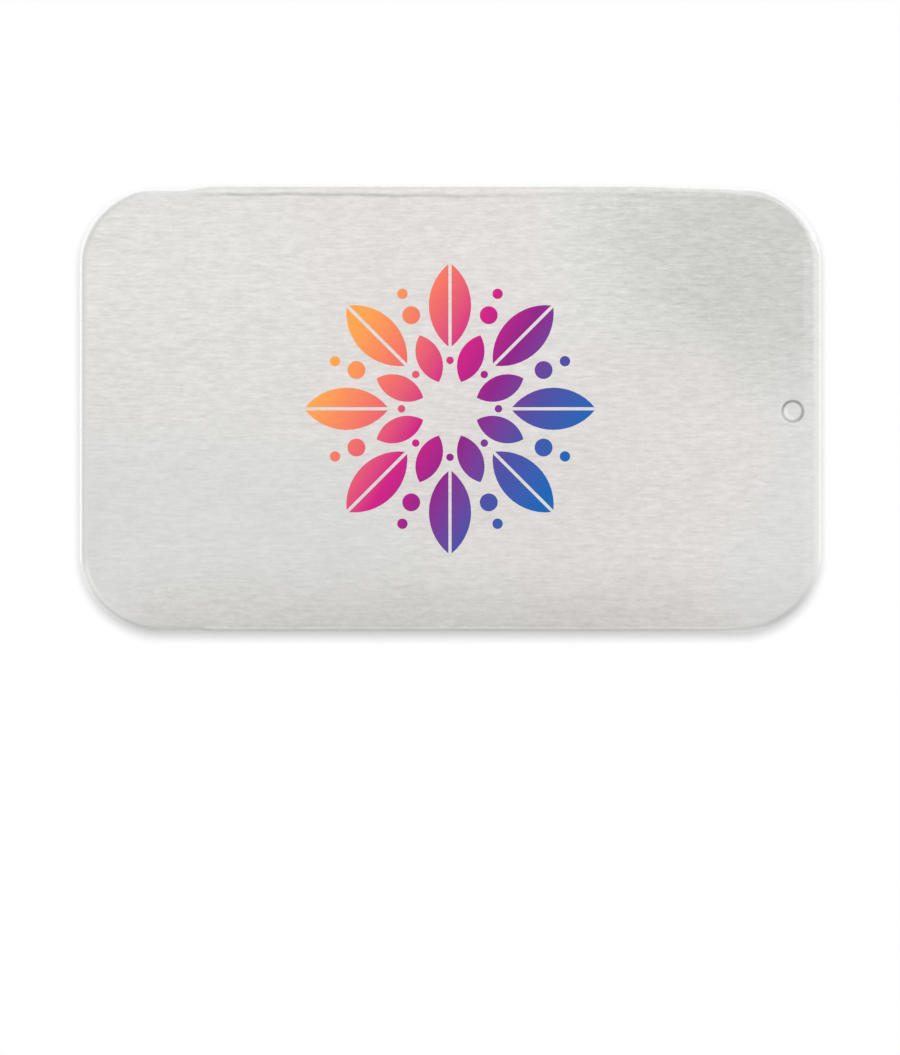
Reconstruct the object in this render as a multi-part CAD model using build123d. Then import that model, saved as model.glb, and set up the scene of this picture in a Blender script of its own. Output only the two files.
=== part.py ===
from build123d import *
import math
import os

# A slide-lid mint tin in plain tinplate, made of two drawn pieces.
# The tray is drawn with a raised panel in its floor, and its rim is rolled outwards into a round bead.
# The lid is a shallow cap. Its two long edges are folded under that bead, so it runs along the tray.
# A small round dimple, pressed down behind the bead at the closed end, keeps the shut lid in place.
# The open end has no skirt, only a turned edge that passes over the bead.
# The origin is the middle of the underside, +Z is up, and the lid opens towards +X, its closed end.
# Lengths are in millimetres and angles in degrees.

# The whole tin
sheet = 0.25
lid_length = 80.0
lid_width = 47.7
tin_height = 12.0
lid_corner_radius = 8.2

# Fit between the lid and the tray
skirt_gap = 0.15
head_gap = 0.6
turned_edge_gap = 0.1
hem_gap = 0.15
lip_to_wall_gap = 0.25

# The tray's rolled bead, and its floor with the raised panel
bead_diameter = 1.3
bead_turn = 260
bead_bore_flats = 5
floor_bend_radius = 1.5
panel_inset = 3.6
panel_rise = 0.35
panel_slope = 60

# The lid's edge, and the hems along its long sides
lid_edge_radius = 1.1
hem_bulge = 0.25
hem_bend_radius = 0.6
hem_joggle_open = 1.5
hem_joggle_closed = 6.0
hem_setback_open = 3.2
hem_setback_closed = 3.5
hem_lip_chamfer = 0.5
hem_lip_setback = 0.4
skirt_notch_radius = 0.5

# The dimple at the lid's closed end
dimple_inset = 3.1
dimple_diameter = 2.3
dimple_floor_diameter = 1.7
dimple_gap = 0.15

# How far a cutter runs past what it cuts
overrun = 5.0

# Heights that both pieces share
bead_top_z = tin_height - sheet - head_gap
bead_centre_z = bead_top_z - bead_diameter / 2
hem_lip_top_z = bead_top_z - bead_diameter - hem_gap
hem_lip_bottom_z = hem_lip_top_z - sheet
skirt_bottom_z = hem_lip_bottom_z + hem_bend_radius

# Plan of the bead, which just fits inside the lid's skirt
bead_length = lid_length - 2 * (sheet + skirt_gap)
bead_width = lid_width - 2 * (sheet + skirt_gap)
bead_corner_radius = lid_corner_radius - sheet - skirt_gap

# Where the hems start and stop along the lid
hem_start_x = -lid_length / 2 + lid_corner_radius + hem_setback_open + hem_joggle_open
hem_end_x = lid_length / 2 - lid_corner_radius - hem_setback_closed - hem_joggle_closed


def tray_section():
    """Section through the tray's edge, drawn outwards from a corner's axis: x is outwards and y is up."""
    inside_x = bead_corner_radius - bead_diameter
    wall_x = inside_x + sheet / 2
    bend_radius = floor_bend_radius - sheet / 2
    floor = Line((0, sheet / 2), (wall_x - bend_radius, sheet / 2))
    bend = JernArc(floor @ 1, floor % 1, bend_radius, 90)
    wall = Line(bend @ 1, (wall_x, bead_centre_z))
    return trace([floor, bend, wall], sheet) + bead_section(inside_x)


def bead_section(inside_x):
    """Section through the rolled bead. The sheet turns outwards from the wall, over, down and back in.
    It is round outside. Inside, where nothing reaches, it is drawn with flats."""
    centre = Vector(inside_x + bead_diameter / 2, bead_centre_z)
    outside = CenterArc(centre, bead_diameter / 2, 180, -bead_turn)
    to_bore = Vector(bead_diameter / 2 - sheet, 0)
    angles = [180 - bead_turn * flat / bead_bore_flats for flat in range(bead_bore_flats + 1)]
    bore = Polyline([centre + to_bore.rotate(Axis.Z, angle) for angle in angles])
    return make_face([outside, Line(outside @ 1, bore @ 1), bore, Line(bore @ 0, outside @ 0)])


def carried_round(section, length, width, corner_radius):
    """The section, carried round a rounded rectangle, outwards from the axes of its corners."""
    corner_x = length / 2 - corner_radius
    corner_y = width / 2 - corner_radius
    on_end = Plane(origin=(corner_x, corner_y, 0), x_dir=(1, 0, 0), z_dir=(0, -1, 0)) * section
    on_side = Plane(origin=(corner_x, corner_y, 0), x_dir=(0, 1, 0), z_dir=(1, 0, 0)) * section
    corner = revolve(on_end, Axis((corner_x, corner_y, 0), (0, 0, 1)), 90)
    side = extrude(on_side, -2 * corner_x)
    end = extrude(on_end, 2 * corner_y)
    half = corner + mirror(corner, Plane.YZ) + side
    return half + mirror(half, Plane.XZ) + end + mirror(end, Plane.YZ)


def panel_block(bottom_z):
    """Solid with the raised panel's outline and sloping sides, as high as the panel is raised."""
    inset = bead_diameter + panel_inset
    outline = RectangleRounded(bead_length - 2 * inset, bead_width - 2 * inset, bead_corner_radius - inset)
    return extrude(Pos(0, 0, bottom_z) * outline, panel_rise, taper=panel_slope)


def make_tray():
    """The drawn tray: raised floor panel, standing ring, wall and rolled bead."""
    edge = carried_round(tray_section(), bead_length, bead_width, bead_corner_radius)
    floor = Rectangle(bead_length - 2 * bead_corner_radius, bead_width - 2 * bead_corner_radius)
    return edge + extrude(floor, sheet) + panel_block(sheet) - panel_block(0)


def lid_plan():
    """Outline of the lid seen from above: a rounded rectangle whose long sides step out where the hems are."""
    end_x = lid_length / 2
    side_y = lid_width / 2
    hem_y = side_y + hem_bulge
    corner_x = end_x - lid_corner_radius
    corner_y = side_y - lid_corner_radius
    side = Polyline(
        (-corner_x, side_y),
        (hem_start_x - hem_joggle_open, side_y),
        (hem_start_x, hem_y),
        (hem_end_x, hem_y),
        (hem_end_x + hem_joggle_closed, side_y),
        (corner_x, side_y),
    )
    half = Curve() + [
        Line((-end_x, 0), (-end_x, corner_y)),
        RadiusArc((-end_x, corner_y), side @ 0, lid_corner_radius),
        side,
        RadiusArc(side @ 1, (end_x, corner_y), lid_corner_radius),
        Line((end_x, corner_y), (end_x, 0)),
    ]
    return make_face(half.edges() + mirror(half, Plane.XZ).edges())


def lid_outside():
    """Solid that fills the lid's outside, with the rounded top edge, down to the skirt's bottom."""
    block = extrude(Pos(0, 0, skirt_bottom_z) * lid_plan(), tin_height - skirt_bottom_z)
    return fillet(block.edges().group_by(Axis.Z)[-1], lid_edge_radius)


def lid_inside():
    """Solid that fills the lid's inside and runs out below it. A flat stands for the inside of the bend."""
    bottom_z = skirt_bottom_z - overrun
    plan = offset(lid_plan(), amount=-sheet)
    block = extrude(Pos(0, 0, bottom_z) * plan, tin_height - sheet - bottom_z)
    inner_bend_radius = lid_edge_radius - sheet
    flat_that_touches_bend = inner_bend_radius * (2 - math.sqrt(2))
    return chamfer(block.edges().group_by(Axis.Z)[-1], flat_that_touches_bend)


def open_end_cutter():
    """What is cut off the cap so that its open end keeps only a turned edge that clears the bead."""
    low_z = skirt_bottom_z - overrun
    turned_edge_z = bead_top_z + turned_edge_gap
    notch = Polyline(
        (-lid_length / 2 - overrun, low_z),
        (hem_start_x, low_z),
        (hem_start_x, turned_edge_z),
        (-lid_length / 2 - overrun, turned_edge_z),
        close=True,
    )
    side_view = fillet(make_face(notch).vertices().group_by(Axis.X)[-1].sort_by(Axis.Y)[-1], skirt_notch_radius)
    return extrude(Plane.XZ * side_view, lid_width, both=True)


def hem_lip():
    """The part of a hem that is folded in under the bead, on the +Y side."""
    wall_y = lid_width / 2 + hem_bulge - sheet / 2
    lip_y = bead_width / 2 - bead_diameter + sheet + lip_to_wall_gap
    lip_z = hem_lip_bottom_z + sheet / 2
    bend_radius = hem_bend_radius - sheet / 2
    bend = RadiusArc((wall_y, skirt_bottom_z), (wall_y - bend_radius, lip_z), bend_radius)
    lip = Line(bend @ 1, (lip_y, lip_z))
    start_x = hem_start_x + hem_lip_setback
    section = Plane(origin=(start_x, 0, 0), x_dir=(0, 1, 0), z_dir=(1, 0, 0)) * trace([bend, lip], sheet)
    folded = extrude(section, hem_end_x - hem_lip_setback - start_x)
    inner_corners = folded.edges().filter_by(Axis.Z).group_by(Axis.Y)[0]
    return chamfer(inner_corners, hem_lip_chamfer)


def dimple_cone(bottom_z, extra_radius):
    """Solid as deep as the dimple and tapered like it, wider all round by extra_radius."""
    depth = head_gap - dimple_gap
    cone = Cone(dimple_floor_diameter / 2 + extra_radius, dimple_diameter / 2 + extra_radius, depth)
    return Pos(lid_length / 2 - dimple_inset, 0, bottom_z + depth / 2) * cone


def make_lid():
    """The drawn lid: plate, turned edges, skirt, two hems and the dimple."""
    cap = lid_outside() - lid_inside() - open_end_cutter()
    lip = hem_lip()
    dimple_bottom_z = bead_top_z + dimple_gap
    dimple_wall_angle = math.atan2(head_gap - dimple_gap, (dimple_diameter - dimple_floor_diameter) / 2)
    boss = dimple_cone(dimple_bottom_z, sheet * math.tan(dimple_wall_angle / 2))
    hollow = dimple_cone(dimple_bottom_z + sheet, 0)
    return cap + boss - hollow + lip + mirror(lip, Plane.XZ)


PIECES = {"base_tray": make_tray, "slide_lid": make_lid}

os.makedirs("parts", exist_ok=True)
for node, make in PIECES.items():
    piece = make()
    export_step(piece, f"parts/{node}.step")
    print(node, "volume", round(piece.volume, 1), "box", piece.bounding_box().size)
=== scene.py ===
"""Looks of the slide-lid mint tin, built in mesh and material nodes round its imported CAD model.

Everything is in metres, in the CAD model's frame: the origin is the middle of the underside, +Z is up
and the lid opens towards +X.
"""

import math
from types import SimpleNamespace

import bmesh
import bpy
from mathutils import Matrix, Vector


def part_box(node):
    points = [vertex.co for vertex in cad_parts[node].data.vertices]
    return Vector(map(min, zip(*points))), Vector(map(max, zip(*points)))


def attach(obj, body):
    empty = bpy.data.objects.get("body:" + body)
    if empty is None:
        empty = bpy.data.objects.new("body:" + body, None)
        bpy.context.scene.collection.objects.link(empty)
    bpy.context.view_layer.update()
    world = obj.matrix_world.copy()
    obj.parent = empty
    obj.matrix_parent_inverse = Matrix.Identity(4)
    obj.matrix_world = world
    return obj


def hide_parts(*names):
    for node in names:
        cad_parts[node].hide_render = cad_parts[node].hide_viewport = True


bl_info = {
    "name": "Slide-Lid Mint Tin",
    "version": (1, 0, 0),
    "blender": (4, 5, 0),
    "location": "View3D > Sidebar > Mint Tin",
    "description": "Builds a tinplate mint tin with a sliding lid, a printed rosette and a plain studio",
    "category": "Add Mesh",
}

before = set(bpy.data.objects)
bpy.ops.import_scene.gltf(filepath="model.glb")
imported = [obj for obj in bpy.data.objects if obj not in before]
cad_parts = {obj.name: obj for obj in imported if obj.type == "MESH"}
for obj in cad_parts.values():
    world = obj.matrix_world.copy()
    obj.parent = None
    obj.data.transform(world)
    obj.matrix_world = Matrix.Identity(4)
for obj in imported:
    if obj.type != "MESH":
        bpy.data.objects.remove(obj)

TRAY_LOW, TRAY_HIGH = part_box("base_tray")
LID_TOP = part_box("slide_lid")[1].z

# One millimetre in metres. The meshes are drawn in millimetres and scaled at the end.
MM = 0.001
# Points closer than this, in millimetres, count as one.
NEAR = 0.001
QUARTER_TURN = math.radians(90)
FULL_TURN = math.radians(360)
WHITE = (1, 1, 1, 1)
SENSOR = 36.0


def number(name, description, default, **kind):
    """A property that holds a number."""
    return bpy.props.FloatProperty(name=name, description=description, default=default, **kind)


def length(name, description, millimetres):
    """A property that holds a length, given in millimetres."""
    return number(name, description, millimetres * MM, unit="LENGTH", precision=5)


def share(name, description, default):
    """A property that holds a number from 0 to 1."""
    return number(name, description, default, min=0.0, max=1.0, subtype="FACTOR")


def angle(name, description, degrees):
    """A property that holds an angle, given in degrees."""
    return number(name, description, math.radians(degrees), subtype="ANGLE", unit="ROTATION")


def linear(level):
    """Scene-linear value of a screen level from 0 to 255."""
    part = level / 255
    return part / 12.92 if part <= 0.04045 else ((part + 0.055) / 1.055) ** 2.4


def colour(name, description, levels):
    """A property that holds a colour, given as screen levels from 0 to 255."""
    return bpy.props.FloatVectorProperty(
        name=name, description=description, default=[linear(level) for level in levels],
        subtype="COLOR", size=3, min=0.0, max=1.0,
    )


class MINTTIN_PG_tray(bpy.types.PropertyGroup):
    """Sizes of the drawn tray."""

    length: length("Length", "Length over the rolled bead", (TRAY_HIGH.x - TRAY_LOW.x) / MM)
    width: length("Width", "Width over the rolled bead", (TRAY_HIGH.y - TRAY_LOW.y) / MM)
    height: length("Height", "Height of the bead's top", TRAY_HIGH.z / MM)
    corner_radius: length("Corner radius", "Radius of the bead's corners", 7.8)
    sheet: length("Sheet", "Thickness of the tinplate", 0.25)
    bead: length("Bead", "Diameter of the rolled bead", 1.3)
    bead_turn: angle("Bead turn", "How far round the bead is rolled", 285)
    floor_bend: length("Floor bend", "Radius of the bend from floor to wall, inside", 1.25)
    panel_inset: length("Panel inset", "From the wall's inside to the raised panel's foot", 3.6)
    panel_rise: length("Panel rise", "How far the floor panel is raised", 0.35)
    panel_slope: angle("Panel slope", "Slope of the raised panel's sides", 30)
    panel_bend: length("Panel bend", "Radius of the soft bends along the raised panel", 0.7)


class MINTTIN_PG_lid(bpy.types.PropertyGroup):
    """Sizes of the sliding lid."""

    length: length("Length", "Length of the lid", 80.0)
    width: length("Width", "Width of the lid beside its hems", 47.7)
    top: length("Top", "Height of the lid's top face", LID_TOP / MM)
    corner_radius: length("Corner radius", "Radius of the lid's corners", 8.2)
    edge_radius: length("Edge radius", "Radius of the bend from top to skirt", 1.1)
    sheet: length("Sheet", "Thickness of the tinplate", 0.25)
    skirt_bottom: length("Skirt bottom", "Height of the skirt's lower edge", 10.05)
    turned_edge: length("Turned edge", "Height of the open end's turned edge", 11.25)
    bulge: length("Hem bulge", "How far the hems stand out beside the skirt", 0.25)
    hem_start: length("Hem start", "Where the hems start, from the middle", -27.1)
    hem_end: length("Hem end", "Where the hems end, from the middle", 22.3)
    joggle_open: length("Open joggle", "Length of the step out at the open end", 1.5)
    joggle_closed: length("Closed joggle", "Length of the step out at the closed end", 6.0)
    hem_bend: length("Hem bend", "Outer radius of the fold under the bead", 0.6)
    hem_edge_radius: length("Hem edge radius", "Radius of the top bend along the hems", 0.6)
    hem_edge: length("Hem edge", "From the middle to the folded lip's inner edge", 22.65)
    hem_setback: length("Lip setback", "How much shorter than its hem the lip is, at each end", 0.4)
    notch_radius: length("Notch radius", "Radius where the skirt is cut away", 0.5)
    far_crease: length("Far crease", "From the far hem's outside to its wavy crease", 1.07)
    near_crease: length("Near crease", "From the near hem's outside to its faint crease", 0.70)
    crease: length("Crease depth", "Depth of the far crease", 0.075)
    dimple_inset: length("Dimple inset", "From the closed end to the middle of the dimple's field", 3.1)
    dimple: length("Dimple", "Diameter of the dimple's rim", 2.45)
    dimple_floor: length("Dimple floor", "Diameter of the dimple's floor", 1.9)
    dimple_depth: length("Dimple depth", "Depth of the dimple", 0.4)
    dimple_along: length("Dimple along", "From its field's middle to the dimple, along the lid", 0.05)
    dimple_across: length("Dimple across", "From its field's middle to the dimple, across the lid", -0.26)


class MINTTIN_PG_finish(bpy.types.PropertyGroup):
    """Colours and wear of the tinplate."""
    # Colours, roughness and streaks of the tinplate, and the light and shade painted on the lid.

    cool: colour("Cool tinplate", "Colour of the lid's neutral part", (225, 225, 224))
    warm: colour("Warm tinplate", "Colour of most of the lid", (228, 227, 223))
    rose: colour("Rosy tinplate", "Colour of the lid's slanting middle band", (229, 225, 222))
    olive: colour("Olive tinplate", "Colour of the lid's far part at the closed end", (223, 224, 219))
    # Colour of the painted highlight along the lid's upper bends.
    highlit: colour("Highlit tinplate", "Colour of the lid's bends, rubbed bright", (254, 254, 253))
    inside: colour("Tray tinplate", "Colour of the tray", (216, 214, 209))
    roughness: share("Roughness", "Roughness of the brushed face", 0.36)
    streaks: share("Streaks", "Strength of the brushed streaks", 0.51)
    # Strength of the painted shade on the lid's face.
    dulling: share("Shading", "How much the handled parts of the lid are dulled", 0.16)
    # Strength of the painted highlight along the lid's upper bends.
    polish: share("Highlight", "How bright the lid's upper bends are rubbed", 0.95)
    # Strength of the painted shade in the lid's creases.
    crease_shade: share("Occlusion", "How dark the lid's creases are", 0.22)


class MINTTIN_PG_rosette(bpy.types.PropertyGroup):
    """Size and colours of the rosette printed on the lid."""

    radius: length("Radius", "Radius of the whole rosette", 15.6)
    petals: bpy.props.IntProperty(
        name="Petals", description="Leaves in each ring", default=8, min=3, max=24
    )
    ink: length("Ink", "How far the ink stands above the lid", 0.015)
    orange: colour("Orange", "First colour of the print", (255, 166, 82))
    coral: colour("Coral", "Second colour of the print", (243, 115, 104))
    magenta: colour("Magenta", "Third colour of the print", (206, 32, 132))
    purple: colour("Purple", "Fourth colour of the print", (140, 32, 134))
    indigo: colour("Indigo", "Fifth colour of the print", (76, 76, 160))
    blue: colour("Blue", "Last colour of the print", (24, 98, 178))


class MINTTIN_PG_stage(bpy.types.PropertyGroup):
    """Camera, light and floor."""

    camera_distance: length("Camera distance", "From the camera to the lid", 2400.0)
    view_height: length("View height", "Height of the picture at the lid", 113.75)
    view_drop: length("View drop", "How far the tin sits above the picture's middle", 12.8)
    floor_size: length("Floor", "Width of the pale floor", 6000.0)
    lamp_tilt: angle("Lamp tilt", "Tilt of the overhead lamp towards the far side", 2.4)
    lamp_spread: angle("Lamp spread", "Angle that the overhead lamp fills", 10.0)
    lamp_level: number("Lamp level", "Light of the overhead lamp on a flat face", 0.88, min=0.0)
    room_level: number("Room level", "Light of the room on matt faces", 0.12, min=0.0)
    floor_shadow: share("Floor shadow", "How dark the tin's shadow is on the floor", 0.58)


# Mesh helpers


def millimetres(group):
    """A property group's values, with its lengths in millimetres."""
    values = {}
    for prop in group.bl_rna.properties:
        value = getattr(group, prop.identifier)
        is_length = getattr(prop, "unit", "NONE") == "LENGTH"
        values[prop.identifier] = value / MM if is_length else value
    return SimpleNamespace(**values)


def only(kind, items):
    """The vertices, edges or faces among what a mesh operator returned."""
    return [item for item in items if isinstance(item, kind)]


def middle(face):
    """The middle of a face's corners."""
    return face.calc_center_median()


def ends_of(edges):
    """The vertices of some edges, each once and always in the same order."""
    return list(dict.fromkeys(vert for edge in edges for vert in edge.verts))


def open_edges(bm, inside):
    """The edges along the sheet's rim that have both ends inside, by a test of their places."""
    return [
        edge for edge in bm.edges
        if edge.is_boundary and all(inside(vert.co) for vert in edge.verts)
    ]


class SheetLine:
    """A line drawn step by step in the XZ plane, as the section of a bent sheet is drawn on paper."""

    def __init__(self, bm, start, heading=(1, 0, 0)):
        self.bm = bm
        self.tip = bm.verts.new(start)
        self.heading = Vector(heading)

    def straight(self, run, steps=1):
        for _ in range(steps):
            self.tip = bmesh.ops.extrude_vert_indiv(self.bm, verts=[self.tip])["verts"][0]
            bmesh.ops.translate(self.bm, verts=[self.tip], vec=self.heading * (run / steps))

    def bend(self, radius, turn, steps):
        """Turns right for a positive angle and left for a negative one."""
        across = Vector((self.heading.z, 0, -self.heading.x))
        centre = self.tip.co + across * math.copysign(radius, turn)
        last = bmesh.ops.spin(
            self.bm, geom=[self.tip], cent=centre, axis=(0, 1, 0), angle=turn, steps=steps
        )["geom_last"]
        self.tip = only(bmesh.types.BMVert, last)[0]
        self.heading = Matrix.Rotation(turn, 3, "Y") @ self.heading


def carry(bm, edges, step):
    """Extrudes edges by one step and returns the edges at the far side."""
    grown = bmesh.ops.extrude_edge_only(bm, edges=edges)["geom"]
    bmesh.ops.translate(bm, verts=only(bmesh.types.BMVert, grown), vec=step)
    return only(bmesh.types.BMEdge, grown)


def carry_through(bm, edges, axis, stops):
    """Extrudes edges along X or Y from the first stop to the last, with a row of vertices at each."""
    for before, after in zip(stops, stops[1:]):
        step = Vector()
        step[axis] = after - before
        edges = carry(bm, edges, step)
    return edges


def turn_corner(bm, edges, centre, turn, steps):
    """Spins edges round an upright axis and returns the edges at the far side."""
    last = bmesh.ops.spin(
        bm, geom=[*ends_of(edges), *edges], cent=centre, axis=(0, 0, 1), angle=turn, steps=steps
    )["geom_last"]
    return only(bmesh.types.BMEdge, last)


def carry_round_half(bm, side_stops, end_stops, corner_steps):
    """Carries a section, drawn outwards from a corner's axis, round the +Y half of a rounded rectangle.
    The stops run along the side between the corners' axes, and from a corner's axis to the middle."""
    corner_x = side_stops[0]
    corner_y = end_stops[0]
    bmesh.ops.translate(bm, verts=bm.verts, vec=(corner_x, corner_y, 0))
    first_end = bm.edges[:]
    side = turn_corner(bm, first_end, Vector((corner_x, corner_y, 0)), QUARTER_TURN, corner_steps)
    side = carry_through(bm, side, 0, side_stops)
    last_end = turn_corner(bm, side, Vector((-corner_x, corner_y, 0)), QUARTER_TURN, corner_steps)
    carry_through(bm, first_end, 1, end_stops)
    carry_through(bm, last_end, 1, end_stops)
    close_up(bm)
    axis_line = open_edges(bm, lambda co: abs(co.y - corner_y) < NEAR and abs(co.x) < corner_x + NEAR)
    carry_through(bm, axis_line, 1, end_stops)
    close_up(bm)


def even_stops(marks, longest):
    """The marks in order, with even steps no longer than the given one between them."""
    stops = [marks[0]]
    for before, after in zip(marks, marks[1:]):
        steps = max(1, math.ceil(abs(after - before) / longest - NEAR))
        stops += [before + (after - before) * step / steps for step in range(1, steps + 1)]
    return stops


def smooth_step(value, low, high):
    """0 below low and 1 above high, with a smooth rise between."""
    part = min(1.0, max(0.0, (value - low) / (high - low)))
    return part * part * (3 - 2 * part)


def redraw(bm):
    """Draws the faces again in a fixed order, since operators leave one that differs from run to run."""
    verts = sorted(bm.verts, key=lambda vert: vert.co[:])
    places = [vert.co.copy() for vert in verts]
    order = {vert: index for index, vert in enumerate(verts)}
    rings = []
    for face in bm.faces:
        ring = [order[vert] for vert in face.verts]
        first = ring.index(min(ring))
        rings.append(ring[first:] + ring[:first])
    bm.clear()
    verts = [bm.verts.new(place) for place in places]
    for ring in sorted(rings):
        bm.faces.new([verts[index] for index in ring])
    bm.normal_update()


def mirrored(bm):
    """Adds the mirror image across Y and joins the two along the middle."""
    bmesh.ops.mirror(bm, geom=[*bm.verts, *bm.edges, *bm.faces], axis="Y", merge_dist=NEAR)


def close_up(bm):
    """Merges doubled vertices and drops faces with no area, such as those at a spin's pole."""
    redraw(bm)
    bmesh.ops.remove_doubles(bm, verts=bm.verts, dist=2 * NEAR)
    bmesh.ops.dissolve_degenerate(bm, edges=bm.edges, dist=NEAR)


def thicken(bm, sheet, edge_round):
    """Gives a sheet its thickness, downwards in its middle, and rounds its cut edges."""
    redraw(bm)
    bmesh.ops.recalc_face_normals(bm, faces=bm.faces)
    middle_face = min(bm.faces, key=lambda face: middle(face).to_2d().length)
    if middle_face.normal.z < 0:
        bmesh.ops.reverse_faces(bm, faces=bm.faces)
    bmesh.ops.solidify(bm, geom=bm.faces[:], thickness=sheet)
    redraw(bm)
    bmesh.ops.remove_doubles(bm, verts=ends_of(cut_edges(bm)), dist=edge_round)
    redraw(bm)
    bmesh.ops.bevel(
        bm, geom=cut_edges(bm), offset=edge_round, offset_type="OFFSET", segments=2, profile=0.5,
        affect="EDGES", clamp_overlap=True, material=-1,
    )


def cut_edges(bm):
    """The sharp edges along a sheet's cut sides."""
    sharp = math.radians(55)
    return [
        edge for edge in bm.edges
        if len(edge.link_faces) == 2 and edge.calc_face_angle() > sharp
    ]


def corner_axis(piece):
    """Where the axis of the corner at +X and +Y stands."""
    return piece.length / 2 - piece.corner_radius, piece.width / 2 - piece.corner_radius


def add_object(name, data):
    """Puts new data into the scene as an object at the origin."""
    made = bpy.data.objects.new(name, data)
    bpy.context.scene.collection.objects.link(made)
    return made


def piece_from(bm, name, material, body):
    """Makes the mesh, drawn in millimetres, a smooth-shaded object at the origin, on its body."""
    crease_angle = math.radians(38)
    mesh = bpy.data.meshes.new(name)
    bmesh.ops.scale(bm, verts=bm.verts, vec=(MM, MM, MM))
    bm.to_mesh(mesh)
    bm.free()
    mesh.materials.append(material)
    mesh.shade_smooth()
    mesh.set_sharp_from_angle(angle=crease_angle)
    piece = add_object(name, mesh)
    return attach(piece, body)


# Material helpers


class Wire:
    """An output socket. Arithmetic on it adds Math nodes."""

    def __init__(self, finish, socket):
        self.finish = finish
        self.socket = socket

    def maths(self, operation, *values):
        inputs = dict(enumerate(values))
        return self.finish.node("ShaderNodeMath", {"operation": operation}, inputs)

    def __add__(self, other):
        return self.maths("ADD", self, other)

    __radd__ = __add__

    def __sub__(self, other):
        return self.maths("SUBTRACT", self, other)

    def __rsub__(self, other):
        return self.maths("SUBTRACT", other, self)

    def __mul__(self, other):
        return self.maths("MULTIPLY", self, other)

    __rmul__ = __mul__

    def __truediv__(self, other):
        return self.maths("DIVIDE", self, other)

    def __pow__(self, other):
        return self.maths("POWER", self, other)

    def __abs__(self):
        return self.maths("ABSOLUTE", self)

    def sine(self):
        return self.maths("SINE", self)

    def rise(self, low, high):
        """0 at low and 1 at high, with a smooth rise between. A high that is below low makes a fall."""
        inputs = {"Value": self, "From Min": low, "From Max": high}
        if high < low:
            inputs = {"Value": self, "From Min": high, "From Max": low, "To Min": 1.0, "To Max": 0.0}
        return self.finish.node("ShaderNodeMapRange", {"interpolation_type": "SMOOTHSTEP"}, inputs)


class Finish:
    """The nodes of a material or a world, built one by one."""

    def __init__(self, owner):
        owner.use_nodes = True
        self.owner = owner
        self.nodes = owner.node_tree.nodes
        self.links = owner.node_tree.links
        self.nodes.clear()

    def node(self, kind, settings=None, inputs=None, output=0):
        """Adds a node, sets it up, feeds its sockets and returns one output as a wire."""
        node = self.nodes.new(kind)
        for name, value in (settings or {}).items():
            if name == "stops":
                self.set_ramp(node.color_ramp, value)
            else:
                setattr(node, name, value)
        for name, value in (inputs or {}).items():
            if isinstance(value, Wire):
                self.links.new(value.socket, node.inputs[name])
            else:
                node.inputs[name].default_value = value
        return Wire(self, node.outputs[output])

    @staticmethod
    def set_ramp(ramp, stops):
        while len(ramp.elements) < len(stops):
            ramp.elements.new(1.0)
        for element, (position, shade) in zip(ramp.elements, stops):
            element.position = position
            element.color = (*shade, 1.0)

    def place(self):
        """Object coordinates in millimetres."""
        coords = self.node("ShaderNodeTexCoord", output="Object")
        return self.stretched(coords, (1 / MM,) * 3)

    def stretched(self, vector, factors):
        """A vector with each of its parts times a number."""
        return self.node("ShaderNodeVectorMath", {"operation": "MULTIPLY"}, {0: vector, 1: factors})

    def split(self, vector):
        """X, Y and Z of a vector."""
        parts = self.node("ShaderNodeSeparateXYZ", inputs={0: vector}).socket.node
        return [Wire(self, parts.outputs[axis]) for axis in range(3)]

    def seen_rays(self):
        """1 for rays from the camera, through glass, and mirrored before any matt face, else 0."""
        path = self.nodes.new("ShaderNodeLightPath")
        names = ("Is Camera Ray", "Is Transmission Ray", "Is Glossy Ray", "Diffuse Depth")
        seen, glass, glossy, matt_faces = [Wire(self, path.outputs[name]) for name in names]
        return seen, glass, glossy * matt_faces.rise(1, 0)

    def specks(self, vector, detail):
        """Noise from about -0.5 to 0.5."""
        inputs = {"Vector": vector, "Scale": 1.0, "Detail": detail, "Roughness": 0.5}
        return self.node("ShaderNodeTexNoise", inputs=inputs) - 0.5

    def mixed(self, factor, first, second):
        """A colour between two colours."""
        inputs = {0: factor, 6: first, 7: second}
        return self.node("ShaderNodeMix", {"data_type": "RGBA"}, inputs, output=2)

    def scaled(self, shade, factor):
        """A colour times a number."""
        inputs = {0: shade, "Scale": factor}
        return self.node("ShaderNodeVectorMath", {"operation": "SCALE"}, inputs)

    def bumped(self, height, distance):
        """The normal of a surface with small heights and hollows."""
        inputs = {"Height": height, "Distance": distance, "Strength": 1.0}
        return self.node("ShaderNodeBump", inputs=inputs)

    def done(self, shader, output_kind="ShaderNodeOutputMaterial"):
        """Feeds the output with the shader, and returns the material or the world."""
        output = self.nodes.new(output_kind)
        self.links.new(shader.socket, output.inputs["Surface"])
        return self.owner


def solid(shade):
    """A colour property as the four numbers of a colour socket."""
    return (*shade, 1.0)


def brushed_grain(finish, place):
    """Fine streaks along the sheet's length. On the end walls they run up and down, as the sheet does."""
    normal = finish.node("ShaderNodeTexCoord", output="Normal")
    end_wall = abs(finish.split(normal)[0]).rise(0.6, 0.8)
    middling = (0.86, 2.8, 2.0)
    long = (0.3, 4.4, 1.0)
    fine = (2.2, 6.0, 1.0)
    streak_sets = []
    for along, across, detail in (middling, long, fine):
        flat = finish.specks(finish.stretched(place, (along, across, across)), detail)
        end = finish.specks(finish.stretched(place, (across, across, along)), detail)
        streak_sets.append(flat + (end - flat) * end_wall)
    return streak_sets


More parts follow.
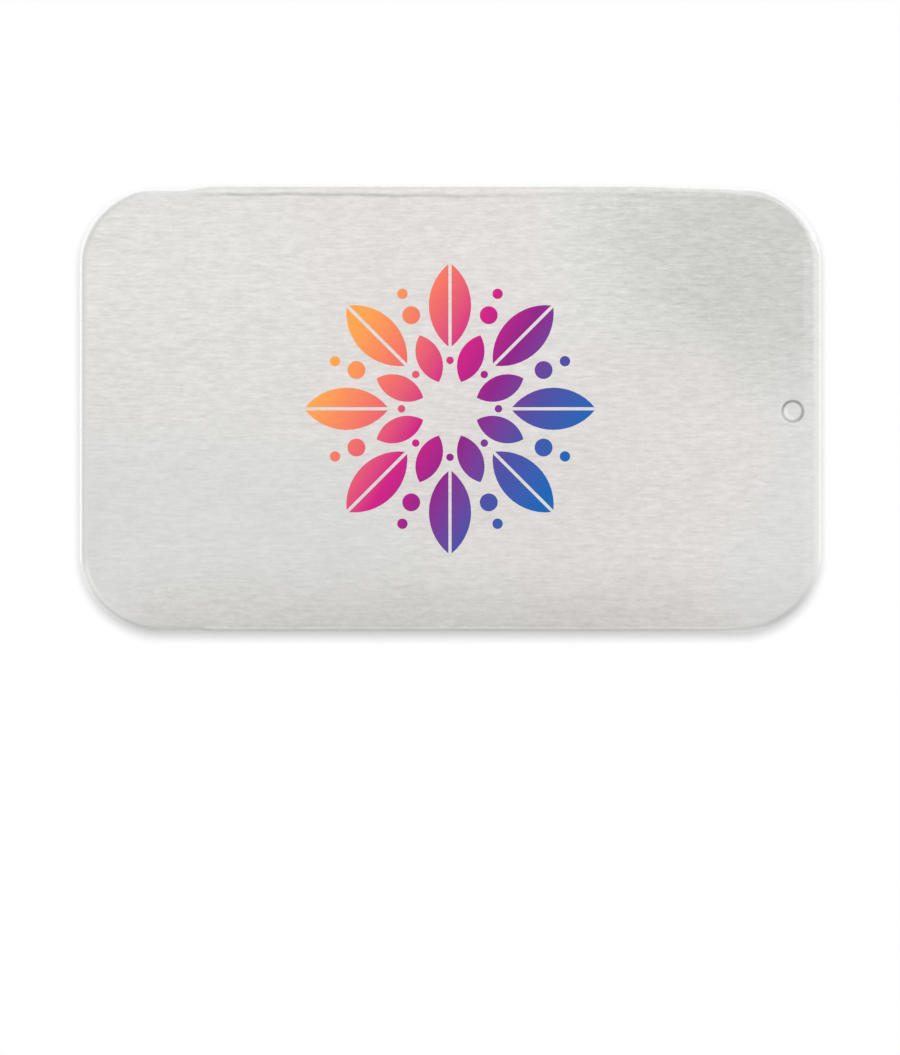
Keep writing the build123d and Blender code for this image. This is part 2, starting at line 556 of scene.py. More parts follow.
def brushed_tinplate(finish, place, look, shade, tone, smoothing, coarseness):
    """Brushed metal with fine grain, a faint mottle, small scratches and smudges."""
    grain, long_grain, fine_grain = brushed_grain(finish, place)
    mottle = finish.specks(finish.stretched(place, (0.55, 0.7, 0.7)), 3.0)
    smudge = finish.specks(finish.stretched(place, (0.11, 0.16, 0.16)), 3.0)
    scratch = finish.specks(finish.stretched(place, (0.12, 9.0, 9.0)), 1.0).rise(0.23, 0.33)
    streaks = look.streaks * coarseness * (grain * 0.62 + long_grain * 0.28 + fine_grain * 0.28)
    relief = grain * 0.6 + fine_grain * 0.5 + mottle * 0.8 - scratch * 0.4
    relief_height = 0.016 * MM
    inputs = {
        "Base Color": finish.scaled(shade, tone * (1 + streaks + mottle * 0.04 - scratch * 0.05)),
        "Metallic": 1.0,
        "Roughness": look.roughness - smoothing + grain * 0.12 + smudge * 0.10 + mottle * 0.06,
        "Normal": finish.bumped(relief, relief_height),
    }
    return finish.done(finish.node("ShaderNodeBsdfPrincipled", inputs=inputs))


def tray_tinplate(look):
    """Even, slightly warm tinplate."""
    finish = Finish(bpy.data.materials.new("tray_tinplate"))
    return brushed_tinplate(
        finish, finish.place(), look, tuple(look.inside), tone=1.0, smoothing=0.0, coarseness=1.0
    )


# Places on the lid are in millimetres from its middle: x along it, towards the closed end, and y across
# it, towards the far side. Each rise runs from one place to another.

# Where the creases start and end along the lid, where the far one fades and where it drifts inwards
CREASE_START = (-28.0, -25.5)
CREASE_END = (33, 30)
CREASE_FADE = (-10, 16)
CREASE_DRIFT = (19, 23)
# Where the straight of the long sides starts and ends
SIDE_START = (-34, -31)
SIDE_END = (35, 32)


def lid_regions(x, y):
    """Where the lid is neutral, rosy (a slanting band) and olive (the far corner of the closed end)."""
    above_edge = (y + 6 * x.rise(-29, -36)).rise(-20.5, -15.5)
    near_left = (x + y * 0.8).rise(-12, -26) * y.rise(1, -7) * above_edge
    near_right = x.rise(27, 35) * y.rise(-8, -18)
    closed_end = x.rise(33.5, 35.5) * y.rise(9, 4) * 0.65 * (1 - near_right)
    rosy_from = (x - 9 * y.rise(1, -9) - 16 * y.rise(-12, -17)).rise(-20, -13)
    rosy_to = (x - 22 * y.rise(11, -1)).rise(16, 8)
    olive = x.rise(10, 18) * (y + 5 * x.rise(24, 32)).rise(4, 10)
    return near_left + near_right + closed_end, rosy_from * rosy_to * (1 - near_right), olive


def lid_shading(look, x, y):
    """Painted shade on the lid's face, strongest on the far side near the closed end and along the near
    edge.
    """
    corner = x.rise(13, 27.5) * y.rise(-2, 11) * (1 - 0.5 * y.rise(21.3, 23.3)) * 0.80
    near_edge = y.rise(-14, -24.5) * x.rise(-36, -29) * (1 - 0.45 * x.rise(24, 34))
    low = y.rise(6, -12) * (0.24 - 0.05 * x.rise(-10, -30)) * x.rise(38, 10) + y.rise(15, 4) * 0.12
    ends = x.rise(26, 34) * 0.06 + x.rise(-30, -37) * y.rise(8, 3) * 0.08
    return look.dulling * (corner + near_edge + low + ends + 0.03)


def lid_crease_shade(finish, look, lid, place):
    """Painted shade in the wavy crease along the far hem, broken into patches, and a trace of it in the
    near one.
    """
    x, y, _ = finish.split(place)
    patches = finish.specks(finish.stretched(place, (0.5, 0.0, 0.0)), 2.0)
    wander = crease_wander(x, x.rise(*CREASE_DRIFT), Wire.sine)
    far_line = lid.width / 2 + lid.bulge - lid.far_crease - wander
    far = abs(y - far_line).rise(0.30, 0.02) * x.rise(*CREASE_START) * x.rise(*CREASE_END)
    fading = 1 - 0.68 * x.rise(*CREASE_FADE)
    near_line = lid.near_crease - lid.width / 2 - lid.bulge
    near = abs(y - near_line).rise(0.20, 0.02) * x.rise(*SIDE_START) * x.rise(*SIDE_END)
    return look.crease_shade * (far * fading * (1 + 1.6 * patches) + 0.35 * near)


def crease_wander(x, drift, sine):
    """How far the far crease wanders inwards at a place along the lid."""
    waves = 0.10 * sine(x * 0.16 + 1.35) + 0.035 * sine(x * 0.83 + 0.4) + 0.02 * sine(x * 1.9)
    return waves + 0.42 * drift


def dimple_light_and_shade(lid, x, y):
    """Painted shade round the dimple, strongest at the right, and painted highlight crescents at its near
    left.
    """
    east = x - (lid.length / 2 - lid.dimple_inset + lid.dimple_along)
    north = y - lid.dimple_across
    away = (east * east + north * north) ** 0.5
    far_right = ((east * 0.8 + north * 0.6) / away).rise(-1.0, 1.0)
    shade = 0.17 + 0.05 * (north / away).rise(0.2, -0.6) + 0.17 * (east / away).rise(0.0, 1.0)
    ring = abs(away - lid.dimple * 0.45).rise(0.28, 0.04) * shade
    crescent = abs(away - lid.dimple * 0.30).rise(0.30, 0.05) * far_right.rise(0.45, 0.05)
    outside = abs(away - lid.dimple * 0.57).rise(0.16, 0.02) * far_right.rise(0.40, 0.05)
    return crescent * 0.15 + outside * 0.08 - ring


def rim_light_and_shade(finish, place, slope_x, slope_y, upright):
    """Painted light on the bend round the lid's top: where its highlight line runs, and the light and
    shade painted on the rest of it by the way it faces.
    """
    just_over_one = 1.0001
    steepness = (just_over_one - upright * upright) ** 0.5
    east = slope_x / steepness
    north = slope_y / steepness
    far = north.rise(0.05, 0.4)
    far_left = far * east.rise(-0.2, -0.6)
    wider = 0.15 * far * east.rise(0.1, 0.8) + 0.13 * far_left - 0.18 * east.rise(0.6, 0.95) * (1 - far)
    # Where the painted highlight line runs on the bend; it is left off the near side.
    bright = (upright - wider).rise(0.79, 0.58) * north.rise(-0.24, -0.02)
    # Painted light and shade on the bend by the way it faces: darker bands at the near corners, a lighter
    # closed end.
    near_left = 0.03 + 0.17 * north.rise(0.0, -0.28) - 0.14 * north.rise(-0.3, -1.0)
    left_band = north.rise(-0.35, -0.75) * upright.rise(0.93, 0.82) * upright.rise(0.3, 0.5)
    near_left = near_left - 0.075 * left_band
    near_right = 0.02 - 0.09 * east.rise(0.1, 0.5) * north.rise(-0.25, -0.6) * upright.rise(0.95, 0.75)
    right_band = north.rise(-0.65, -0.85) * east.rise(0.2, 0.4) * upright.rise(0.9, 0.78)
    near_right = near_right - 0.045 * right_band
    left = east.rise(0.6, -0.2)
    breaks = finish.specks(finish.stretched(place, (0.9, 0.9, 0.9)), 1.0)
    near_corners = north.rise(-0.20, -0.45) * north.rise(-0.97, -0.80)
    # Painted glint: a broken bright line on the bend round the near corners.
    painted_glint = abs(upright - 0.986).rise(0.013, 0.002) * near_corners * (0.10 + 0.50 * breaks)
    light = near_right + (near_left - near_right) * left - 0.09 * far_left + painted_glint
    closed_end = slope_x.rise(0.15, 0.6) * north.rise(-0.6, -0.1)
    return bright, light + 0.09 * closed_end


def lid_tinplate(look, lid):
    """The lid's tinplate, clouded, with light and shade painted on its face, creases, ridges, bends and
    dimple.
    """
    finish = Finish(bpy.data.materials.new("lid_tinplate"))
    place = finish.place()
    x, y, z = finish.split(place)
    cloud = finish.specks(finish.stretched(place, (0.045, 0.07, 0.07)), 3.0)
    cloudy_x = x + cloud * 14
    cloudy_y = y + cloud * 6
    slope_x, slope_y, upright = finish.split(finish.node("ShaderNodeTexCoord", output="Normal"))
    on_top = z.rise(lid.top - lid.edge_radius, lid.top - lid.edge_radius * 0.73)
    bend = upright.rise(1.0, 0.945) * on_top
    bright, light = rim_light_and_shade(finish, place, slope_x, slope_y, upright)
    # Painted highlight: along its line the bend's colour fades to the near-white highlit colour.
    highlit = bright * on_top * look.polish
    neutral, rosy, olive = lid_regions(cloudy_x, cloudy_y)
    shade = solid(look.warm)
    # On the bends the cool tint is part of the light painted on them.
    layers = [(rosy, look.rose), (olive, look.olive), (neutral + bend, look.cool), (highlit, look.highlit)]
    for cover, tint in layers:
        shade = finish.mixed(cover, shade, solid(tint))
    # Painted highlight along the ridge where the hems' top bend starts.
    ridge_line = lid.width / 2 + lid.bulge - lid.hem_edge_radius
    along_side = x.rise(*SIDE_START) * x.rise(*SIDE_END)
    ridge = abs(abs(y) - ridge_line).rise(0.30, 0.05) * along_side * on_top
    # The painted shade is halved along a strip at the closed end and kept off bends that face the far
    # side.
    end_strip = x.rise(37.9, 38.4) * y.rise(19.5, 16)
    far_bend = bend * slope_y.rise(-0.15, 0.05)
    dulling = lid_shading(look, cloudy_x, cloudy_y) * (1 - far_bend) * (1 - 0.5 * end_strip)
    # Painted shade in the creases, on the lid's top only.
    crease_shade = lid_crease_shade(finish, look, lid, place) * on_top
    # The tone carries painted shade and highlights on the face, in the creases, on the hems' ridge and
    # round the dimple.
    tone = 1 - dulling * (1 - highlit) - crease_shade + ridge * 0.06 + dimple_light_and_shade(lid, x, y) * on_top
    # Painted light and shade on the bend by the way it faces, left out under the highlight.
    tone = tone + light * bend * (1 - highlit)
    coarseness = 1 - 0.3 * neutral + 0.25 * olive - 0.45 * bend
    return brushed_tinplate(finish, place, look, shade, tone, highlit * 0.24, coarseness)


def printed_ink(rosette):
    """Ink that grades from orange through magenta to blue, with the sheet's grain showing through it."""
    finish = Finish(bpy.data.materials.new("printed_ink"))
    place = finish.place()
    x, y, _ = finish.split(place)
    slant = (x * 0.94 - y * 0.55) / (2 * rosette.radius) + 0.5
    stops = [
        (0.04, rosette.orange), (0.24, rosette.coral), (0.43, rosette.magenta),
        (0.60, rosette.purple), (0.78, rosette.indigo), (0.97, rosette.blue),
    ]
    graded = finish.node("ShaderNodeValToRGB", {"stops": stops}, {"Fac": slant})
    grain, _, fine_grain = brushed_grain(finish, place)
    mottle = finish.specks(finish.stretched(place, (0.8, 0.8, 0.8)), 3.0)
    relief_height = 0.01 * MM
    inputs = {
        "Base Color": finish.scaled(graded, 1 + grain * 0.10 + mottle * 0.06),
        "Roughness": 0.42 + grain * 0.15 + mottle * 0.1,
        "Normal": finish.bumped(grain * 0.5 + fine_grain * 0.3, relief_height),
        "Specular IOR Level": 0.3,
    }
    return finish.done(finish.node("ShaderNodeBsdfPrincipled", inputs=inputs))


# The tray


def tray_section(bm, tray):
    """Draws the tray's section outwards from a corner's axis: panel, standing ring, wall and bead."""
    inside = tray.corner_radius - tray.bead
    panel_foot = inside - tray.panel_inset
    slope_run = tray.panel_rise / math.tan(tray.panel_slope)
    slope_length = tray.panel_rise / math.sin(tray.panel_slope)
    tangent = tray.panel_bend * math.tan(tray.panel_slope / 2)
    line = SheetLine(bm, (0, 0, tray.sheet + tray.panel_rise))
    line.straight(panel_foot - slope_run - tangent, 3)
    line.bend(tray.panel_bend, tray.panel_slope, 5)
    line.straight(slope_length - 2 * tangent)
    line.bend(tray.panel_bend, -tray.panel_slope, 5)
    line.straight(inside - tray.floor_bend - panel_foot - tangent, 4)
    line.bend(tray.floor_bend, -QUARTER_TURN, 10)
    line.straight(tray.height - tray.bead / 2 - tray.sheet - tray.floor_bend, 6)
    line.bend(tray.bead / 2, tray.bead_turn, 26)


def tray_mesh(tray):
    """The tray's whole sheet: one long half, mirrored, then given its thickness."""
    longest_along = 6
    longest_across = 4
    corner_steps = 24
    edge_round = 0.05
    bm = bmesh.new()
    tray_section(bm, tray)
    corner_x, corner_y = corner_axis(tray)
    side_stops = even_stops([corner_x, -corner_x], longest_along)
    end_stops = even_stops([corner_y, 0], longest_across)
    carry_round_half(bm, side_stops, end_stops, corner_steps)
    mirrored(bm)
    close_up(bm)
    thicken(bm, tray.sheet, edge_round)
    return bm


class MINTTIN_OT_base_tray(bpy.types.Operator):
    """Builds the drawn tray with its raised floor panel and rolled bead."""

    bl_idname = "minttin.base_tray"
    bl_label = "Base tray"

    def execute(self, context):
        scene = context.scene
        metal = tray_tinplate(scene.minttin_finish)
        piece = piece_from(tray_mesh(millimetres(scene.minttin_tray)), "drawn_tray", metal, "tray")
        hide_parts("base_tray")
        return {"FINISHED"}


# The lid

# What lies less than this below the lid's top, in millimetres, belongs to its top face.
FACE_DEPTH = 0.5


def lid_section(bm, lid):
    """Draws the lid's section from a corner's axis outwards: top face, turned edge and skirt."""
    field = dimple_field(lid)
    line = SheetLine(bm, (0, 0, lid.top))
    line.straight(lid.corner_radius - lid.dimple_inset - field, 3)
    line.straight(field * 1.5, 6)
    line.straight(field * 0.5, 12)
    to_turned_edge = math.acos((lid.turned_edge - lid.top + lid.edge_radius) / lid.edge_radius)
    line.bend(lid.edge_radius, to_turned_edge, 11)
    line.bend(lid.edge_radius, QUARTER_TURN - to_turned_edge, 3)
    line.straight(lid.top - lid.edge_radius - lid.skirt_bottom, 4)


def dimple_field(lid):
    """Half the side of the square for the dimple, which ends where the closed end's bend starts."""
    return lid.dimple_inset - lid.edge_radius


def lid_half(bm, lid):
    """The half of the lid's sheet on the +Y side, before its hem is formed."""
    longest_along = 0.62
    longest_across = 1.6
    corner_steps = 26
    corner_x, corner_y = corner_axis(lid)
    side_stops = even_stops(
        [
            corner_x, lid.hem_end + lid.joggle_closed, lid.hem_end, lid.hem_end - lid.hem_setback,
            lid.hem_start + lid.hem_setback, lid.hem_start, lid.hem_start - lid.notch_radius,
            lid.hem_start - lid.joggle_open, -corner_x,
        ],
        longest_along,
    )
    field = dimple_field(lid)
    end_stops = even_stops([corner_y, field], longest_across)
    end_stops += [field * step / 4 for step in (3, 2, 1, 0)]
    carry_round_half(bm, side_stops, end_stops, corner_steps)


def cut_open_end(bm, lid):
    """Cuts the skirt away at the open end, down to a turned edge, with a rounded inner corner."""
    cuts = 6
    margin = 0.1
    sliver = 0.06
    sliver_reach = 0.8
    centre = Vector((lid.hem_start - lid.notch_radius, 0, lid.turned_edge - lid.notch_radius))
    planes = []
    for step in range(cuts + 1):
        slant = QUARTER_TURN * step / cuts
        outwards = Vector((math.cos(slant), 0, math.sin(slant)))
        planes.append((centre + outwards * lid.notch_radius, outwards))
    for step, (point, outwards) in enumerate(planes):
        reach = margin if step in (0, cuts) else lid.notch_radius + margin / 2
        near = [
            face for face in bm.faces
            if middle(face).z < lid.turned_edge + margin and middle(face).x < lid.hem_start
            and (middle(face) - point).dot(outwards) < reach
            and (middle(face) - centre).dot(outwards) > -margin
        ]
        around = list(dict.fromkeys(edge for face in near for edge in face.edges))
        bmesh.ops.bisect_plane(
            bm, geom=[*near, *around, *ends_of(around)], dist=NEAR / 10,
            plane_co=point, plane_no=outwards,
        )
        redraw(bm)
    cut = [
        face for face in bm.faces
        if all((middle(face) - point).dot(outwards) < 0 for point, outwards in planes)
    ]
    bmesh.ops.delete(bm, geom=cut, context="FACES")
    rim = [vert for vert in bm.verts if vert.is_boundary and abs(vert.co.x - centre.x) < sliver_reach]
    bmesh.ops.remove_doubles(bm, verts=rim, dist=sliver)


def bulge_at(x, lid):
    """How far the hem stands out at a place along the lid."""
    opening = smooth_step(x, lid.hem_start - lid.joggle_open, lid.hem_start)
    closing = smooth_step(x, lid.hem_end + lid.joggle_closed + 0.7, lid.hem_end - 2.8)
    return lid.bulge * opening * closing


def moved_mark(value, mark, new_mark, reach):
    """Stretches the way from 0 to reach so that the mark comes to its new place."""
    if value <= mark:
        return value * new_mark / mark
    if value < reach:
        return new_mark + (value - mark) * (reach - new_mark) / (reach - mark)
    return value


def tighten_bend(bm, lid):
    """Rolls the bend from top to skirt closer along the hem than round the corners and ends."""
    corner_x, _ = corner_axis(lid)
    side_y = lid.width / 2
    for vert in bm.verts:
        inwards = side_y - vert.co.y
        drop = lid.top - vert.co.z
        past_start = smooth_step(vert.co.x, lid.hem_start + 0.1, lid.hem_start + 1.6)
        hug = past_start * smooth_step(vert.co.x, corner_x, corner_x - 3)
        near = moved_mark(inwards, lid.edge_radius, lid.hem_edge_radius, 3 * lid.edge_radius)
        low = moved_mark(drop, lid.edge_radius, lid.hem_edge_radius, lid.top - lid.skirt_bottom)
        vert.co.y += (inwards - near) * hug
        vert.co.z += (drop - low) * hug


def form_hem(bm, lid):
    """Steps the long side out and folds its lower edge in under the tray's bead."""
    _, corner_y = corner_axis(lid)
    for vert in bm.verts:
        blend = smooth_step(vert.co.y - corner_y, 2, lid.corner_radius - lid.edge_radius - 0.3)
        vert.co.y += bulge_at(vert.co.x, lid) * blend
    start = lid.hem_start + lid.hem_setback
    end = lid.hem_end - lid.hem_setback
    foot = open_edges(bm, lambda co: (
        abs(co.z - lid.skirt_bottom) < NEAR and start - NEAR < co.x < end + NEAR and co.y > corner_y
    ))
    bend_y = lid.width / 2 + lid.bulge - lid.hem_bend
    last = bmesh.ops.spin(
        bm, geom=[*ends_of(foot), *foot], cent=(0, bend_y, lid.skirt_bottom), axis=(1, 0, 0),
        angle=-QUARTER_TURN, steps=8,
    )["geom_last"]
    lip_run = lid.hem_edge - bend_y
    lip_steps = 3
    edges = only(bmesh.types.BMEdge, last)
    for _ in range(lip_steps):
        edges = carry(bm, edges, Vector((0, lip_run / lip_steps, 0)))
    tip_rounding = Vector((0.22, 0.05, 0))
    for vert in ends_of(edges):
        if min(abs(vert.co.x - start), abs(vert.co.x - end)) < NEAR:
            vert.co.x += math.copysign(tip_rounding.x, -vert.co.x)
            vert.co.y += tip_rounding.y


def straighten_near_side(bm, lid):
    """Carries the near hem's width on to the corners, where the far one steps in."""
    corner_x, corner_y = corner_axis(lid)
    for vert in bm.verts:
        blend = smooth_step(-vert.co.y - corner_y, 2, lid.corner_radius - lid.edge_radius - 0.3)
        whole = lid.bulge * smooth_step(abs(vert.co.x), corner_x + 5, corner_x - 0.5)
        vert.co.y -= max(0, whole - bulge_at(vert.co.x, lid)) * blend


def press_creases(bm, lid):
    """Presses the wavy crease along the far hem and the fainter, straight one along the near hem."""
    crease_width = 0.16
    near_share = 0.3
    _, corner_y = corner_axis(lid)
    for vert in bm.verts:
        if vert.co.z < lid.top - FACE_DEPTH or abs(vert.co.y) < corner_y:
            continue
        x = vert.co.x
        inwards = lid.width / 2 + lid.bulge - abs(vert.co.y)
        ends = smooth_step(x, *CREASE_START) * smooth_step(x, *CREASE_END)
        if vert.co.y > 0:
            depth = lid.crease * (1 - 0.6 * smooth_step(x, *CREASE_FADE))
            wander = crease_wander(x, smooth_step(x, *CREASE_DRIFT), math.sin)
            away = inwards - lid.far_crease - wander
        else:
            depth = lid.crease * near_share
            away = inwards - lid.near_crease
        vert.co.z -= depth * ends * math.exp(-((away / crease_width) ** 2))


def dimple_rings(lid):
    """Radius and depth of each ring of the dimple, from the flat sheet round it in to its floor."""
    soft = 0.17
    flat_round_it = 0.3
    rim = lid.dimple / 2
    run = rim - lid.dimple_floor / 2
    slope = math.atan2(lid.dimple_depth, run)
    tangent = soft * math.tan(slope / 2)
    outer = rim + flat_round_it
    drawing = bmesh.new()
    line = SheetLine(drawing, (outer, 0, 0), heading=(-1, 0, 0))
    line.straight(outer - rim - tangent, 2)
    line.bend(soft, -slope, 5)
    line.straight(math.hypot(run, lid.dimple_depth) - 2 * tangent, 2)
    line.bend(soft, slope, 5)
    line.straight((lid.dimple_floor / 2 - tangent) * 0.7, 2)
    rings = [(vert.co.x, vert.co.z) for vert in drawing.verts]
    drawing.free()
    return rings


def press_dimple(bm, lid):
    """Presses the round dimple into a square of the end's sheet, ring by ring in to its middle."""
    field_x = lid.length / 2 - lid.dimple_inset
    centre = Vector((field_x + lid.dimple_along, lid.dimple_across, lid.top))
    field = dimple_field(lid)
    under = [
        face for face in bm.faces
        if middle(face).z > lid.top - 0.01
        and abs(middle(face).x - field_x) < field and abs(middle(face).y) < field
    ]
    bmesh.ops.delete(bm, geom=under, context="FACES")
    loop = open_edges(bm, lambda co: (
        max(abs(co.x - field_x), abs(co.y)) < field + NEAR and co.z > lid.top - 0.2
    ))
    for radius, height in dimple_rings(lid):
        loop = carry(bm, loop, Vector())
        for vert in ends_of(loop):
            outwards = (vert.co - centre).to_2d().normalized().to_3d()
            vert.co = centre + outwards * radius + Vector((0, 0, height))
    bmesh.ops.contextual_create(bm, geom=loop)


def settle_face(bm, lid):
    """Gives the top face the slight hollow that the dimple pulls round itself."""
    hollow_depth = 0.05
    hollow_reach = 2.3
    centre = Vector((lid.length / 2 - lid.dimple_inset, 0))
    for vert in bm.verts:
        if vert.co.z > lid.top - FACE_DEPTH:
            away = (vert.co.to_2d() - centre).length
            inside = smooth_step(lid.length / 2 - vert.co.x, 0.2, 1.4)
            vert.co.z -= hollow_depth * math.exp(-((away / hollow_reach) ** 2)) * inside


def lid_mesh(lid):
    """The lid's whole sheet: a side with its hem, mirrored, creased and dimpled, then made thick."""
    edge_round = 0.04
    bm = bmesh.new()
    lid_section(bm, lid)
    lid_half(bm, lid)
    cut_open_end(bm, lid)
    tighten_bend(bm, lid)
    form_hem(bm, lid)
    mirrored(bm)
    close_up(bm)
    straighten_near_side(bm, lid)
    press_creases(bm, lid)
    press_dimple(bm, lid)
    close_up(bm)
    settle_face(bm, lid)
    thicken(bm, lid.sheet, edge_round)
    return bm


class MINTTIN_OT_slide_lid(bpy.types.Operator):
    """Builds the lid with its hems, creases and dimple."""

    bl_idname = "minttin.slide_lid"
    bl_label = "Sliding lid"

    def execute(self, context):
        scene = context.scene
        lid = millimetres(scene.minttin_lid)
        piece = piece_from(lid_mesh(lid), "sliding_lid", lid_tinplate(scene.minttin_finish, lid), "lid")
        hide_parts("slide_lid")
        return {"FINISHED"}


# The print


def leaf(bm, foot, tip, half_width):
    """The arc of one side of a pointed leaf along X between two radii."""
    arc_steps = 14
    half = (tip - foot) / 2
    radius = (half * half + half_width * half_width) / (2 * half_width)
    turn = 2 * math.asin(half / radius)
    start = bm.verts.new((foot, 0, 0))
    centre = (foot + half, half_width - radius, 0)
    bmesh.ops.spin(bm, geom=[start], cent=centre, axis=(0, 0, 1), angle=-turn, steps=arc_steps)


def half_leaf(bm, foot, tip, half_width, gap):
    """One half of a leaf that is split along its midrib. The other half is its mirror image."""
    leaf(bm, foot, tip, half_width)
    bmesh.ops.translate(bm, verts=bm.verts, vec=(0, gap / 2, 0))
    bmesh.ops.contextual_create(bm, geom=[*bm.verts, *bm.edges])


def printed(bm, count, turn, top, ink):
    """Repeats the flat shapes round the middle, and gives them thickness, down into the sheet."""
    sunk = 0.02
    bmesh.ops.rotate(bm, verts=bm.verts, cent=(0, 0, 0), matrix=Matrix.Rotation(turn, 3, "Z"))
    bmesh.ops.spin(
        bm, geom=[*bm.verts, *bm.edges, *bm.faces], cent=(0, 0, 0), axis=(0, 0, 1),
        angle=FULL_TURN, steps=count, use_duplicate=True,
    )
    bmesh.ops.remove_doubles(bm, verts=bm.verts, dist=2 * NEAR)
    drop = ink + sunk
    body = bmesh.ops.extrude_face_region(bm, geom=bm.faces[:])["geom"]
    bmesh.ops.translate(bm, verts=only(bmesh.types.BMVert, body), vec=(0, 0, drop))
    bmesh.ops.translate(bm, verts=bm.verts, vec=(0, 0, top + ink - drop))
    bmesh.ops.recalc_face_normals(bm, faces=bm.faces)
    redraw(bm)


def rosette_shapes(rosette):
    """Each ring of the rosette as (function that draws one shape, turn)."""
    unit = rosette.radius

    def outer_leaf(bm):
        half_leaf(bm, 0.43 * unit, 1.0 * unit, 0.135 * unit, 0.022 * unit)
        mirrored(bm)

    def inner_leaf(bm):
        leaf(bm, 0.20 * unit, 0.55 * unit, 0.085 * unit)
        mirrored(bm)
        bmesh.ops.contextual_create(bm, geom=bm.edges[:])

    def dot(place, radius):
        def draw(bm):
            spot = Matrix.Translation((place * unit, 0, 0))
            bmesh.ops.create_circle(bm, cap_ends=True, radius=radius * unit, segments=28, matrix=spot)
        return draw

    half_step = math.pi / rosette.petals
    return [
        (outer_leaf, 0),
        (inner_leaf, half_step),
        (dot(0.70, 0.062), half_step),
        (dot(0.86, 0.036), half_step),
        (dot(0.335, 0.026), 0),
    ]


def rosette_mesh(rosette, top):
    """All the rings of the rosette as one mesh."""
    whole = bmesh.new()
    for draw, turn in rosette_shapes(rosette):
        ring = bmesh.new()
        draw(ring)
        printed(ring, rosette.petals, turn, top, rosette.ink)
        part = bpy.data.meshes.new("ring")
        ring.to_mesh(part)
        ring.free()
        whole.from_mesh(part)
        bpy.data.meshes.remove(part)
    return whole


class MINTTIN_OT_rosette(bpy.types.Operator):
    """Prints the rosette of leaves and dots on the lid."""

    bl_idname = "minttin.rosette"
    bl_label = "Printed rosette"

    def execute(self, context):
        scene = context.scene
        rosette = millimetres(scene.minttin_rosette)
        top = millimetres(scene.minttin_lid).top
        piece_from(rosette_mesh(rosette, top), "lid_rosette", printed_ink(rosette), "lid")
        return {"FINISHED"}


# The stage


def studio_camera(stage, top):
    """Looks straight down. The view's height is kept whatever the distance is."""
    data = bpy.data.cameras.new("studio_camera")
    data.sensor_fit = "AUTO"
    data.sensor_width = SENSOR
    data.lens = SENSOR * stage.camera_distance / stage.view_height
    data.clip_start = 0.01
    data.clip_end = 50
    data.dof.use_dof = False
    camera = add_object("studio_camera", data)
    camera.location = (0, -stage.view_drop, top + stage.camera_distance)
    bpy.context.scene.camera = camera


def studio_lamp(stage):
    """An overhead lamp that lights matt faces and gives the floor its close, soft shadow."""
    data = bpy.data.lights.new("overhead_lamp", "SUN")
    data.energy = stage.lamp_level * math.pi
    data.angle = stage.lamp_spread
    lamp = add_object("overhead_lamp", data)
    lamp.rotation_euler = (-stage.lamp_tilt, 0, 0)
    lamp.visible_glossy = False


def studio_room(stage):
    """A white room. Matt faces get little light from it, and polished ones mirror it."""
    world = bpy.data.worlds.new("studio_room")
    bpy.context.scene.world = world
    room = Finish(world)
    x, y, z = room.split(room.node("ShaderNodeTexCoord", output="Generated"))
    mirrored_room = 1 - 0.11 * z.rise(1.0, 0.3) + (x * 0.06 + y * 0.08) * z.rise(0.95, 0.5)
    seen, glass, mirrored_ray = room.seen_rays()
    other = 1 - seen - glass - mirrored_ray
    strength = seen + glass + mirrored_ray * mirrored_room + other * stage.room_level
    light = room.node("ShaderNodeBackground", inputs={"Color": WHITE, "Strength": strength})
    room.done(light, "ShaderNodeOutputWorld")


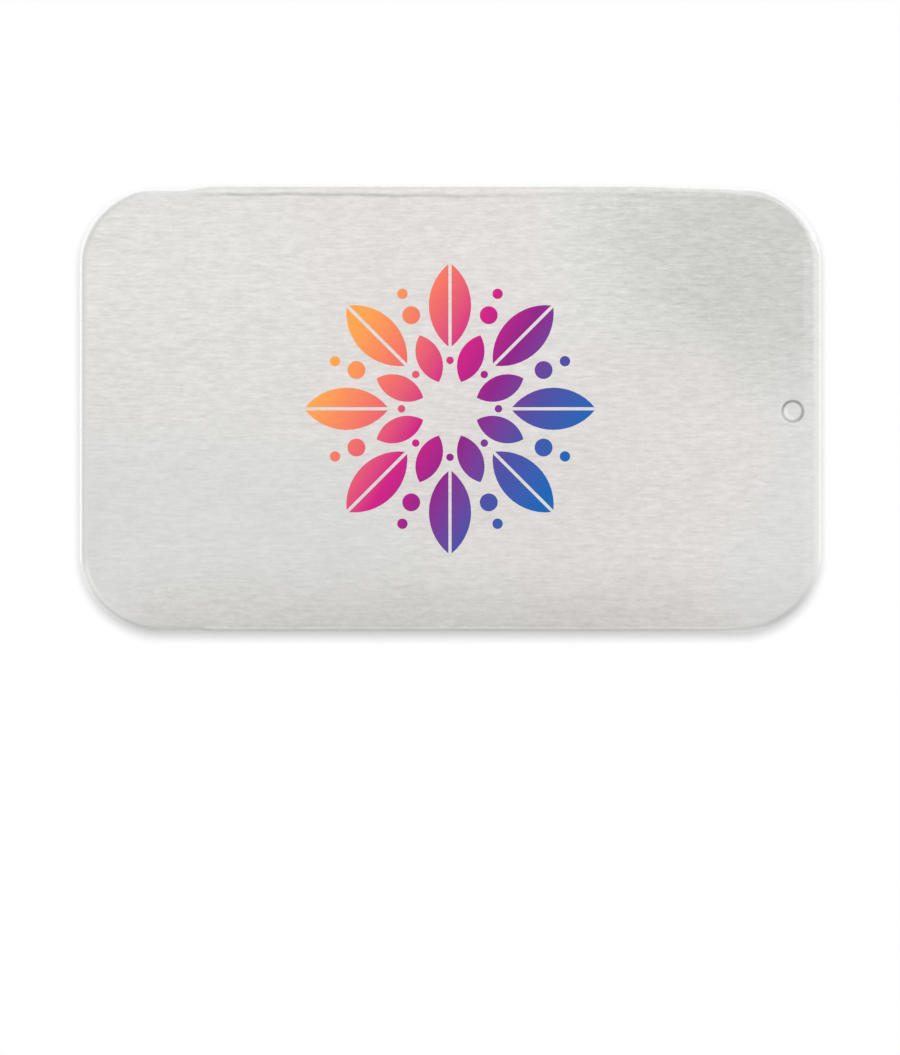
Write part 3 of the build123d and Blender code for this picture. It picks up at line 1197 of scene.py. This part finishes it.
def studio_floor(stage):
    """A pale floor that stays white but keeps the tin's shadow."""
    bm = bmesh.new()
    bmesh.ops.create_grid(bm, x_segments=1, y_segments=1, size=stage.floor_size / 2)
    mesh = bpy.data.meshes.new("studio_floor")
    bm.to_mesh(mesh)
    bm.free()
    finish = Finish(bpy.data.materials.new("pale_floor"))
    seen, glass, mirrored_ray = finish.seen_rays()
    strength = seen + glass + mirrored_ray
    glow = finish.node("ShaderNodeEmission", inputs={"Color": WHITE, "Strength": strength})
    matt = finish.node("ShaderNodeBsdfDiffuse", inputs={"Color": WHITE})
    floor = finish.node("ShaderNodeMixShader", inputs={0: stage.floor_shadow, 1: glow, 2: matt})
    mesh.materials.append(finish.done(floor))
    add_object("studio_floor", mesh)


class MINTTIN_OT_stage(bpy.types.Operator):
    """Sets up the camera, the pale floor, the white room and the overhead lamp."""

    bl_idname = "minttin.stage"
    bl_label = "Studio"

    def execute(self, context):
        scene = context.scene
        stage = scene.minttin_stage
        scene.view_settings.view_transform = "Standard"
        studio_camera(stage, scene.minttin_lid.top)
        studio_lamp(stage)
        studio_room(stage)
        studio_floor(stage)
        return {"FINISHED"}


class MINTTIN_PT_panel(bpy.types.Panel):
    """Lists the tin's pieces and the studio."""

    bl_idname = "MINTTIN_PT_panel"
    bl_label = "Mint Tin"
    bl_space_type = "VIEW_3D"
    bl_region_type = "UI"
    bl_category = "Mint Tin"

    def draw(self, context):
        for operator in OPERATORS:
            self.layout.operator(operator.bl_idname)


GROUPS = {
    "minttin_tray": MINTTIN_PG_tray,
    "minttin_lid": MINTTIN_PG_lid,
    "minttin_finish": MINTTIN_PG_finish,
    "minttin_rosette": MINTTIN_PG_rosette,
    "minttin_stage": MINTTIN_PG_stage,
}
OPERATORS = (MINTTIN_OT_base_tray, MINTTIN_OT_slide_lid, MINTTIN_OT_rosette, MINTTIN_OT_stage)


def register():
    for group in (*GROUPS.values(), *OPERATORS, MINTTIN_PT_panel):
        bpy.utils.register_class(group)
    for name, group in GROUPS.items():
        setattr(bpy.types.Scene, name, bpy.props.PointerProperty(type=group))


def unregister():
    for name in GROUPS:
        delattr(bpy.types.Scene, name)
    for group in reversed((*GROUPS.values(), *OPERATORS, MINTTIN_PT_panel)):
        bpy.utils.unregister_class(group)


def main():
    """Builds the whole scene."""
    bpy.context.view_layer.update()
    register()
    bpy.ops.minttin.base_tray()
    bpy.ops.minttin.slide_lid()
    bpy.ops.minttin.rosette()
    bpy.ops.minttin.stage()


if __name__ == "__main__":
    main()
